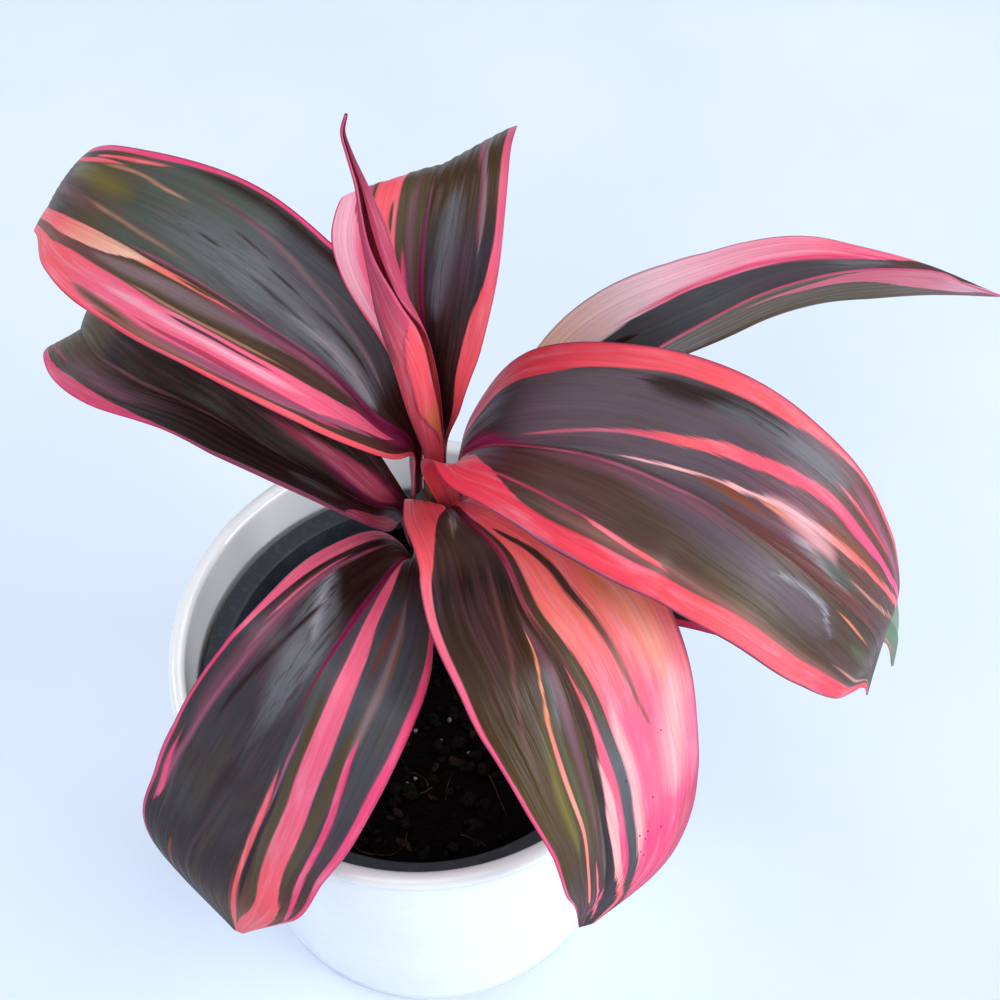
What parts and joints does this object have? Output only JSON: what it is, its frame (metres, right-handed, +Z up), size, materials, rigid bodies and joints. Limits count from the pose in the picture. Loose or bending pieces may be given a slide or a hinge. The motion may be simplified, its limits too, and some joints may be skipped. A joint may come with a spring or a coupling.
{
  "type": "potted cordyline plant",
  "caption": "Young ti plant with arching pink-striped charcoal leaves on a short cane, in a grow pot inside a round glossy white cachepot.",
  "frame": {"origin": "centre of the cachepot's flat base, on the surface that it stands on", "axes": "+Z up along the pots' axis; the broad right-hand leaves point to +X and the front of the plant faces -Y"},
  "size_m": [0.2657, 0.2051, 0.3433],
  "materials": {
    "glazed_white": "gloss",
    "slate_plastic": "satin",
    "potting_mix": "matte",
    "cane": "matte",
    "leaf_striped": "satin",
    "leaf_pink": "satin"
  },
  "bodies": {
    "root": {"cachepot": "glazed_white", "nursery_pot": "slate_plastic", "soil": "potting_mix", "stem": "cane", "leaf_spear": "leaf_pink", "leaf_upright": "leaf_striped", "leaf_upper_left": "leaf_striped", "leaf_left_under": "leaf_striped", "leaf_front_left": "leaf_striped", "leaf_front_right": "leaf_striped", "leaf_right": "leaf_striped", "leaf_right_back": "leaf_striped", "leaf_right_under": "leaf_striped"}
  },
  "joints": []
}
